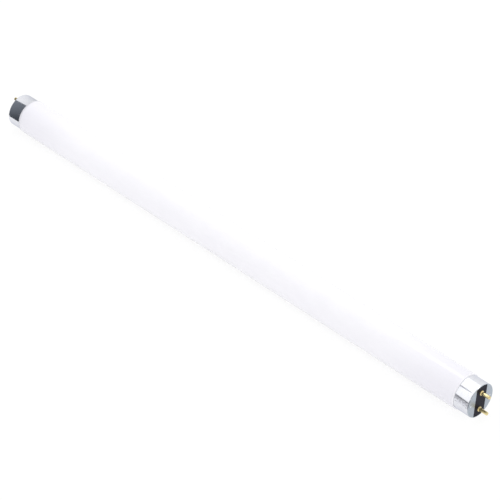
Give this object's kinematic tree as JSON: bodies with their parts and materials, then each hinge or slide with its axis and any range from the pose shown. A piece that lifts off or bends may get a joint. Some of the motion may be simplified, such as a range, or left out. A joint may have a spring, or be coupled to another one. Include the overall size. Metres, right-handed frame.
{
  "type": "fluorescent tube",
  "caption": "Straight white glass fluorescent tube with a polished metal bi-pin cap at each end, held and powered through the brass pins in lampholders.",
  "frame": {"origin": "middle of the tube, on its axis", "axes": "+X along the tube towards the right-hand cap, +Z from the lower pin to the upper pin of each cap"},
  "size_m": [0.4516, 0.0254, 0.0254],
  "materials": {
    "coated_glass": "gloss glass over a matt white phosphor coat",
    "cap_aluminium": "polished barrel, satin end face",
    "black_insulator": "satin moulded",
    "capping_cement": "matt",
    "pin_brass": "drawn, bright",
    "lead_wire": "drawn wire"
  },
  "bodies": {
    "root": {"glass_tube": "coated_glass", "cap_shell_left": "cap_aluminium", "cap_shell_right": "cap_aluminium", "insulator_left": "black_insulator", "insulator_right": "black_insulator", "cement_ring_left": "capping_cement", "cement_ring_right": "capping_cement", "contact_pin_left_upper": "pin_brass", "contact_pin_left_lower": "pin_brass", "contact_pin_right_upper": "pin_brass", "contact_pin_right_lower": "pin_brass", "lead_wire_left_upper": "lead_wire", "lead_wire_left_lower": "lead_wire", "lead_wire_right_upper": "lead_wire", "lead_wire_right_lower": "lead_wire"}
  },
  "joints": []
}
